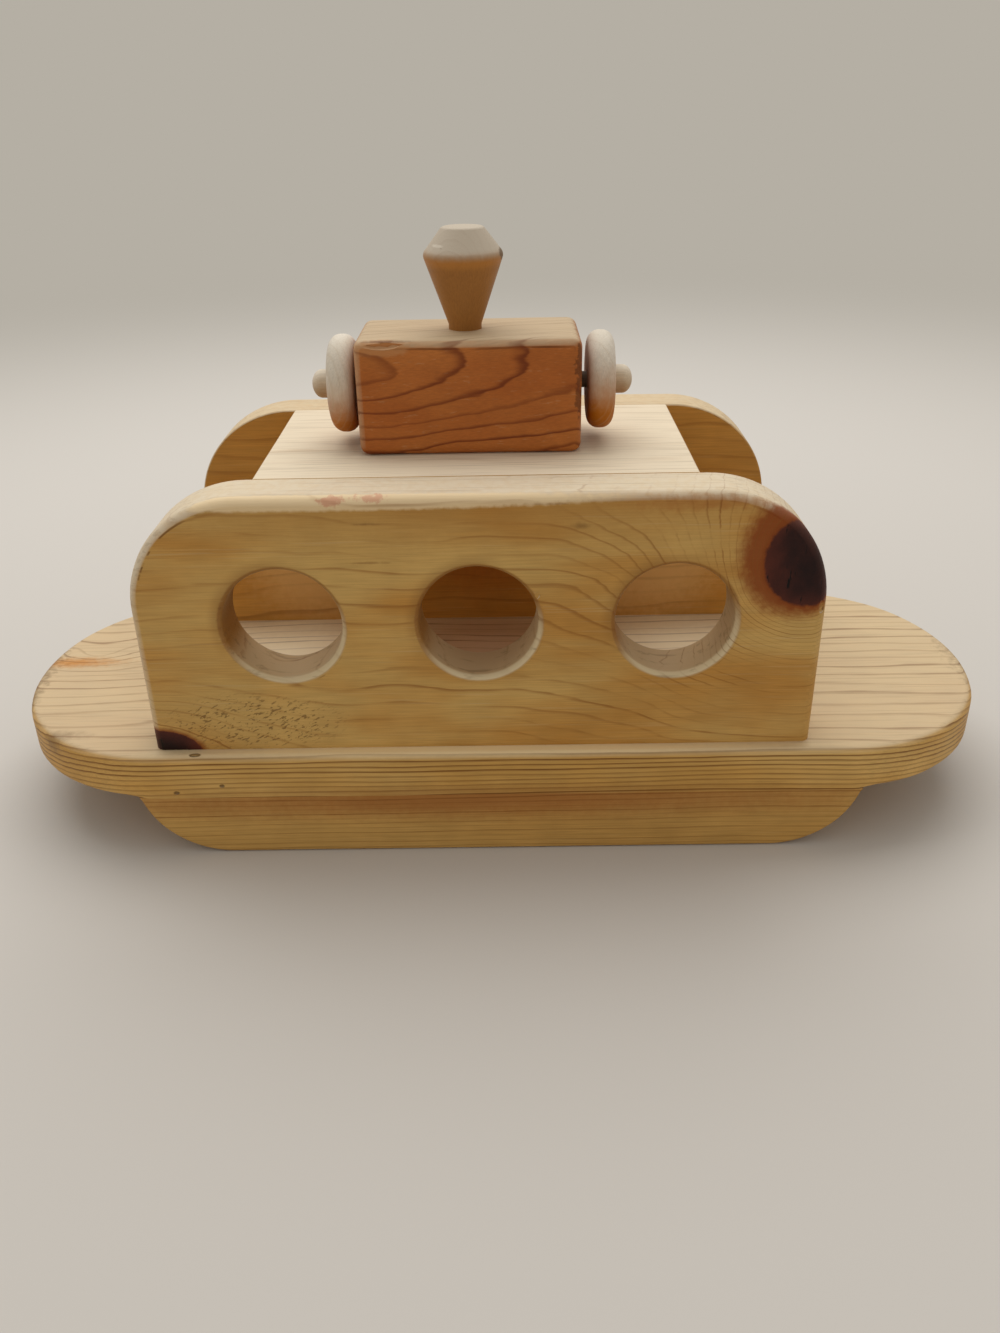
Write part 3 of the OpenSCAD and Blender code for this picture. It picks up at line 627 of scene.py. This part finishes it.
# Satin varnished pine, flat sawn: quiet golden face with a few broken streaks, crowded rings and halo
# round each black knot, edges and bores rubbed to bare wood with painted light and shade, a painted highlight
# along the top edge, two crayon marks and a patch of pits.
bores = [((hole, 0, PORTHOLE_Z), PORTHOLE_R) for hole in PORTHOLES]
near_pine = sawn_wood(
    "satin varnished pine, flat sawn with black knots", "#CEA762", "#BE8A42", "#8A541E", pith=(-30, -150),
    ring=7.0, centre=(0, 0, 45), contrast=0.75, broken=0.85, late_share=0.28, wander=14, wander_length=90,
    bare="#E3D6BE", bare_lines=0.3, bores=bores,
    bends=[((113, -66, 117), (27, 60, 30), 34.0), ((-134, -66, 42), (30, 60, 26), -7.0),
           ((30, -66, 112), (36, 60, 24), -1.8)],
    knots=[((113.5, -78, 121.5), (19.3, 18, 20.7), 0.1), ((-134, -66, 43), (17.5, 60, 11), 0.18)],
    stains=[((-10, -69.5, 146), (150, 3, 20), "#A8702A", 0.5, 0.3, 0.9),
            ((109.8, -78, 124), (26.8, 18, 30), "#8A3F10", 0.9, 0.2, 0.18),
            # Painted highlight: a pale band along the rounded top edge, where it turns down to the face.
            ((-62, -69.5, 147), (118, 4, 4.2), "#F4DAAE", 0.75, 0.4, 0.25),
            ((-58, -68.8, 146.2), (4.2, 3.0, 2.4), "#C4574A", 0.45, 3.0, 0.4),
            ((-44, -68.3, 147.4), (5.6, 3.0, 1.6), "#C4574A", 0.4, 3.0, 0.4),
            ((78, -69.2, 144), (38, 2.6, 3.2), "#A8662C", 0.5, 1.6, 0.9),
            ((30.6, -69.5, 136.2), (3.5, 2, 1.5), "#6E4A20", 0.45, 1.0, 0.9),
            ((-45.5, -69.5, 123.2), (8, 2, 0.6), "#7A4E22", 0.45, 1.2, 0.9),
            ((-46, -69.5, 138), (5.5, 2, 0.6), "#6A4520", 0.45, 1.2, 0.9)],
    pitted=((-95, -69, 57), (42, 12, 15), 24))
settle(wall, "boat", "knotty_pine", near_pine, "near_wall")
# The same pine and finish without knots. Its inner face has painted shade, redder in the middle of the
# tunnel, and painted light in paler patches towards the open ends.
far_pine = sawn_wood(
    "satin varnished pine, flat sawn", "#C49046", "#BE8538", "#86501F", pith=(40, -120), ring=6.5,
    centre=(0, 0, 45), contrast=0.5, broken=0.5, late_share=0.35, wander=12, wander_length=110,
    bare="#DDCBAA", bores=bores,
    # Painted shade, redder, in the middle of the tunnel.
    stains=[((-7, 47.5, 100), (42, 8, 44), "#A34E1C", 0.6, 0.4, 0.6),
            # Painted light in paler patches towards the tunnel's open ends.
            ((-84, 47.5, 80), (40, 8, 40), "#E5B878", 0.85, 0.4, 0.6),
            ((70, 47.5, 80), (40, 8, 40), "#E5B878", 0.9, 0.4, 0.6)])
settle(far_wall, "boat", "varnished_pine", far_pine, "far_wall")


# Roof board: a shorter pine board glued between the walls, sanded flush with their tops.
# Its top is nearly white, partly rubbed by play and partly painted sheen.
ROOF_HALF, ROOF_DEPTH, ROOF_EASE, ROOF_CUTS = 82.5, 22, 1.0, range(-40, 41, 10)
roof = block("roof_board_sanded", (WALL_X - ROOF_HALF, -WALL_IN, WALL_TOP - ROOF_DEPTH),
             (WALL_X + ROOF_HALF, WALL_IN, WALL_TOP))
for cut in ROOF_CUTS:
    saw(roof, (0, cut, 0), (0, 1, 0))
ease(roof, lambda m: ROOF_EASE if abs(m.x - WALL_X) > ROOF_HALF - 0.5 and abs(m.y) < WALL_IN - ON_FACE
     else 0.0)
# Satin varnished pine, its top pale from rubbing and painted sheen: fine straight lines that hardly show.
roof_pine = sawn_wood(
    "satin varnished pine, rubbed pale", "#D2AE74", "#CCA468", "#A8793D", pith=(-60, -140), ring=4.2,
    centre=(0, 0, 137), contrast=0.4, broken=0.7, wander=5, faces="Z", wear=0.5, bare="#EDE0C8",
    top_fade=0.84)
settle(roof, "boat", "pale_pine", roof_pine, "roof")


# Cabin: a block of red-brown softwood with bold arched grain, its edges sanded, one corner chipped.
# It is glued on the roof and drilled for the funnel and the two axle pegs.
CABIN_X, CABIN_HALF, CABIN_SIDE, CABIN_TOP, CABIN_EASE = -9.5, 42.75, 22.25, 191.5, 3.5
CABIN_CUTS_ALONG, CABIN_CUTS_UP = range(-46, 27, 8), range(155, 187, 6)
cabin = block("cabin_block_sanded", (CABIN_X - CABIN_HALF, -CABIN_SIDE, WALL_TOP),
              (CABIN_X + CABIN_HALF, CABIN_SIDE, CABIN_TOP))
for cut in CABIN_CUTS_ALONG:
    saw(cabin, (cut, 0, 0), (1, 0, 0))
for cut in CABIN_CUTS_UP:
    saw(cabin, (0, 0, cut), (0, 0, 1))
ease(cabin, lambda m: CABIN_EASE, steps=5)
chip(cabin, (-42, -23.6, 190.9), (10.5, 3.3, 2.9), lean=0.06, seed=8)
chip(cabin, (33.2, -22.2, 179), (1.5, 1.5, 5.5), seed=9)
# Satin varnished red softwood, flat sawn: dark lines that arch across the face, rubbed edges, a dark
# line over the chipped corner, and a dark mark on the right edge.
cabin_fir = sawn_wood(
    "satin varnished red fir, bold arched grain", "#B76F34", "#AB6029", "#6A2A0C", pith=(-9.5, 13.5),
    ring=5.0, centre=(CABIN_X, 0, 169), turn=(0, math.radians(1), math.radians(-10.7)), contrast=0.9,
    broken=0.15, varied=0.45, late_share=0.3, wander=2.6, wander_length=30, wear=0.62, bare="#CAB897",
    top_fade=0.84, bare_lines=0.3,
    stains=[((-42, -22, 189), (12, 4, 3.6), "#C28A58", 0.6, 0.9, 0.4),
            ((-40, -21.6, 191.2), (13, 2, 0.7), "#5A2A12", 0.7, 0.5, 0.5),
            ((32.6, -21.6, 176), (1.8, 3.2, 14), "#3A1E10", 0.55, 3.4, 0.3)])
settle(cabin, "boat", "red_fir", cabin_fir, "cabin")


# Funnel: one hardwood turning, glued by its tenon into the cabin.
# Above a short neck two cones meet in a rounded ring, and the upper one ends in an eased lip.
FUNNEL_X, TENON_DEPTH, TENON_EASE, NECK_R, NECK_HEIGHT = -10.8, 14, 0.8, 6.35, 1.8
RING_MIDDLE, RING_ROUND, LIP_MIDDLE, LIP_ROUND = (12.0, 26.7), 3.0, (6.9, 35.0), 1.8


def arc(middle, radius, start, end, steps=10):
    """Points of an arc on a turned profile, as (distance from the axis, distance along it)."""
    return [(middle[0] + radius * math.cos(start + (end - start) * i / steps),
             middle[1] + radius * math.sin(start + (end - start) * i / steps)) for i in range(steps + 1)]


def turned(name, profile, base, along):
    """Turns a profile about the axis that starts at base, in mm, and runs along a direction."""
    axis = Vector(along)
    out = Vector((0, -1, 0))
    points = [(Vector(base) + axis * a + out * r) * MM for r, a in profile]
    bpy.ops.object.select_all(action="DESELECT")
    bpy.ops.mesh.primitive_plane_add(size=2 * MM)
    made = bpy.context.object
    made.name = made.data.name = name
    bpy.ops.object.mode_set(mode="EDIT")
    bpy.ops.mesh.select_mode(type="VERT")
    form = bmesh.from_edit_mesh(made.data)
    form.verts.ensure_lookup_table()
    form.verts[0].co = points[0]
    for point in form.verts:
        point.select_set(point.index != 0)
    bmesh.update_edit_mesh(made.data)
    bpy.ops.mesh.delete(type="VERT")
    bpy.ops.mesh.select_all(action="SELECT")
    for here, there in zip(points, points[1:]):
        bpy.ops.mesh.extrude_region_move(TRANSFORM_OT_translate={"value": there - here})
    bpy.ops.mesh.select_all(action="SELECT")
    bpy.ops.mesh.spin(steps=96, angle=2 * math.pi, center=Vector(base) * MM, axis=axis)
    bpy.ops.mesh.select_all(action="SELECT")
    bpy.ops.mesh.remove_doubles(threshold=0.02 * MM)
    bpy.ops.mesh.normals_make_consistent(inside=False)
    bpy.ops.object.mode_set(mode="OBJECT")
    return made


def lean_of(dx, dz, step):
    """Angle of the line that touches two circles on their outer side."""
    return math.atan2(dx, dz) + math.asin(step / math.hypot(dx, dz))


low_lean = lean_of(RING_MIDDLE[0] - NECK_R, RING_MIDDLE[1] - NECK_HEIGHT, RING_ROUND)
high_lean = lean_of(RING_MIDDLE[0] - LIP_MIDDLE[0], LIP_MIDDLE[1] - RING_MIDDLE[1], RING_ROUND - LIP_ROUND)
funnel_profile = ([(0, -TENON_DEPTH), (NECK_R - TENON_EASE, -TENON_DEPTH),
                   (NECK_R, TENON_EASE - TENON_DEPTH), (NECK_R, NECK_HEIGHT)]
                  + arc(RING_MIDDLE, RING_ROUND, -low_lean, high_lean)
                  + arc(LIP_MIDDLE, LIP_ROUND, high_lean, math.pi / 2, 6)
                  + [(0, LIP_MIDDLE[1] + LIP_ROUND)])
funnel = turned("funnel_turned", funnel_profile, (FUNNEL_X, 0, CABIN_TOP), (0, 0, 1))
chip(funnel, (FUNNEL_X - 9.5, -10.6, 222.0), (2.2, 0.6, 0.35), lean=0.1, seed=10)
# Turned hardwood with satin varnish, dull brown below the ring, grey above it: worn varnish with painted
# sheen.
funnel_wood = sawn_wood(
    "turned hardwood, satin varnish worn off the upper cone", "#A9753C", "#9F6B34", "#7A4A1F", pith=(-30, 12),
    ring=3.0, centre=(FUNNEL_X, 0, 205), turn=(0, math.radians(90), 0), contrast=0.08, broken=0.5, wander=2,
    faces="Z", wear=0.0, top_fade=0.9, bare="#D5C7B2",
    stains=[((FUNNEL_X, 0, 216.9), (60, 60, 2.7), "#B87B38", 0.75, 0.1, 0.9),
            # Painted sheen with worn varnish: the upward-facing upper cone greyed.
            ((FUNNEL_X, 0, 237.6), (60, 60, 20.2), "#C2B5A2", 0.95, 0.06, 0.17),
            ((FUNNEL_X - 10, -10, 222.5), (3.4, 5, 0.6), "#DDD2C0", 0.7, 0.5, 0.4),
            ((FUNNEL_X + 14.6, -2, 218.8), (2.0, 4.5, 2.8), "#5A4226", 0.75, 1.2, 0.4)])
settle(funnel, "boat", "turned_beech", funnel_wood, "funnel")


# Wheels and axle pegs: stock turned birch, left bare. Each wheel has a shallow dish round its hub
# and turns freely on the shank of a domed peg glued into the cabin's end.
WHEEL_R, WHEEL_T, TREAD, DISH, AXLE_Z, BORE_R = 18.75, 10.3, 4.6, 1.6, 171.1, 3.175
PEG_R, PEG_LENGTH, PEG_EASE, HEAD_GAP = 3.1, 34, 0.8, 0.5
HEAD_R, HEAD_EASE, HEAD_SIDE, DOME, DOME_STEPS = 5.5, 0.4, 3.2, 3.9, 12
rim, hub = WHEEL_R - TREAD - 0.5, WHEEL_R * 0.34
quarter = math.pi / 2
wheel_profile = ([(BORE_R, 0)] + arc((WHEEL_R - TREAD, TREAD), TREAD, -quarter, 0)
                 + arc((WHEEL_R - TREAD, WHEEL_T - TREAD), TREAD, 0, quarter)
                 + [(rim, WHEEL_T), (rim - DISH, WHEEL_T - DISH), (hub + DISH / 2, WHEEL_T - DISH),
                    (hub, WHEEL_T), (BORE_R, WHEEL_T), (BORE_R, 0)])
# Each wheel stands off the cabin by its own gap.
for side, gap, word in ((-1, 1.7, "left"), (1, 3.1, "right")):
    end = CABIN_X + side * CABIN_HALF
    wheel = turned(f"{word}_wheel_turned", wheel_profile, (end + side * gap, 0, AXLE_Z), (side, 0, 0))
    # Bare sanded birch: off-white and even, stained warm brown by handling lower down.
    birch = sawn_wood(
        f"bare sanded birch, {word} wheel", "#E0D7CA", "#D8CCBA", "#BCA586", pith=(30, -60), ring=2.6,
        centre=(end, 0, AXLE_Z), turn=(0, math.radians(90), 0), contrast=0.35, broken=0.4, wander=2,
        faces="Z", wear=0.0, bare="#E2D8C4", top_fade=0.35, rough=0.55,
        stains=[((end + side * 7, -8, AXLE_Z - 18.5 + 2.5 * side), (40, 60, 24), "#B0660F", 1.0, 0.3, 0.75)])
    settle(wheel, f"{word}_wheel", "bare_birch", birch, f"{word}_wheel")
    head = gap + WHEEL_T + HEAD_GAP
    turns = [quarter * i / DOME_STEPS for i in range(DOME_STEPS)]
    peg_profile = ([(0, head - PEG_LENGTH), (PEG_R - PEG_EASE, head - PEG_LENGTH),
                    (PEG_R, head - PEG_LENGTH + PEG_EASE), (PEG_R, head), (HEAD_R - HEAD_EASE, head),
                    (HEAD_R, head + HEAD_EASE)]
                   + [(HEAD_R * math.cos(t), head + HEAD_SIDE + DOME * math.sin(t)) for t in turns]
                   + [(0, head + HEAD_SIDE + DOME)])
    peg = turned(f"{word}_axle_peg_domed", peg_profile, (end, 0, AXLE_Z), (side, 0, 0))
    # The same birch, browner underneath, and painted dark as shade where the shank goes into the cabin.
    peg_birch = sawn_wood(
        f"bare sanded birch, {word} peg", "#DCCEBB", "#D2C0A6", "#AC9068", pith=(20, 14), ring=2.2,
        centre=(end, 0, AXLE_Z), contrast=0.3, broken=0.4, wander=1, faces="Z", wear=0.0, bare="#E2D8C4",
        top_fade=0.4, rough=0.55,
        stains=[((end + side * 15, -4, AXLE_Z - 6), (14, 9, 8), "#9A6A35", 0.8, 0.4, 0.9),
                # Painted shade: the shank dark in the gap between the wheel and the cabin.
                ((end + side * 2, 0, AXLE_Z), (3.2, 5, 5), "#665140", 0.9, 0.2, 0.3)])
    settle(peg, "boat", "bare_birch", peg_birch, f"{word}_axle_peg")


# Dowels: plain beech pins glued inside the joints, which hold the boards together.
# None of them shows, so they keep their CAD shape.
# Plain beech: pale and even, with faint lines.
dowel_beech = sawn_wood("plain beech dowel", "#CFAE7E", "#C9A674", "#A98452", pith=(12, 9), ring=2.0,
                        contrast=0.35, broken=0.3, wander=1, faces="Z", wear=0.0, top_fade=0.0, rough=0.6)
for word in ("hull_dowels", "wall_dowels", "roof_dowels", "cabin_dowels"):
    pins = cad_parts[word]
    pins.data.materials.clear()
    pins.data.materials.append(dowel_beech)
